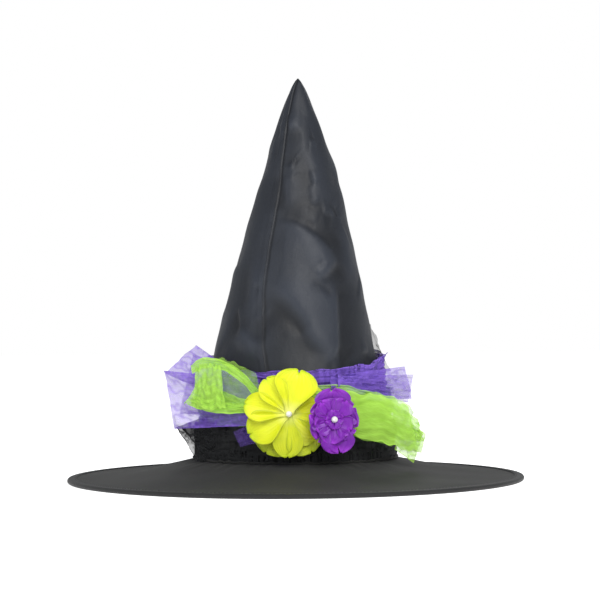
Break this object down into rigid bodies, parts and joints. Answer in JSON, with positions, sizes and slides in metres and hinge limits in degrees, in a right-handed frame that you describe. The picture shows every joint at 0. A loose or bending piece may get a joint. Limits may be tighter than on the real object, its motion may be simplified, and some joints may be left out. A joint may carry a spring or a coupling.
{
  "type": "witch hat",
  "caption": "Pointed cloth costume hat with a wide round brim, gathered tulle sashes round the crown and cloth flowers with pearl centres at the front.",
  "frame": {"origin": "centre of the plane that the brim's edge rests on, under the tip", "axes": "+Z from the brim to the tip, -Y to the front, where the flowers are, +X to the right of the hat seen from the front"},
  "size_m": [0.4, 0.4, 0.354],
  "materials": {
    "brim_cloth": "matte",
    "brim_board": "matte",
    "brim_lining": "matte",
    "edge_tape": "matte",
    "hoop_plastic": "satin",
    "sleeve_plastic": "satin",
    "crown_satin": "satin",
    "interfacing": "matte",
    "ribbon": "satin",
    "black_tulle": "matte",
    "green_tulle": "matte",
    "purple_tulle": "matte",
    "yellow_petal": "satin",
    "pearl": "gloss",
    "glue": "satin",
    "purple_petal": "satin"
  },
  "bodies": {
    "root": {"brim_top_cover": "brim_cloth", "brim_stiffener": "brim_board", "brim_bottom_cover": "brim_lining", "brim_binding": "edge_tape", "brim_hoop": "hoop_plastic", "hoop_sleeve": "sleeve_plastic", "crown_shell": "crown_satin", "crown_interfacing": "interfacing", "sweatband": "ribbon", "black_tulle_sash": "black_tulle", "green_tulle_sash": "green_tulle", "purple_tulle_sash": "purple_tulle", "yellow_flower_back_petals": "yellow_petal", "yellow_flower_front_petals": "yellow_petal", "yellow_flower_pearl": "pearl", "yellow_flower_glue": "glue", "purple_flower_outer_petals": "purple_petal", "purple_flower_middle_petals": "purple_petal", "purple_flower_inner_petals": "purple_petal", "purple_flower_pearl": "pearl", "purple_flower_glue": "glue"}
  },
  "joints": []
}
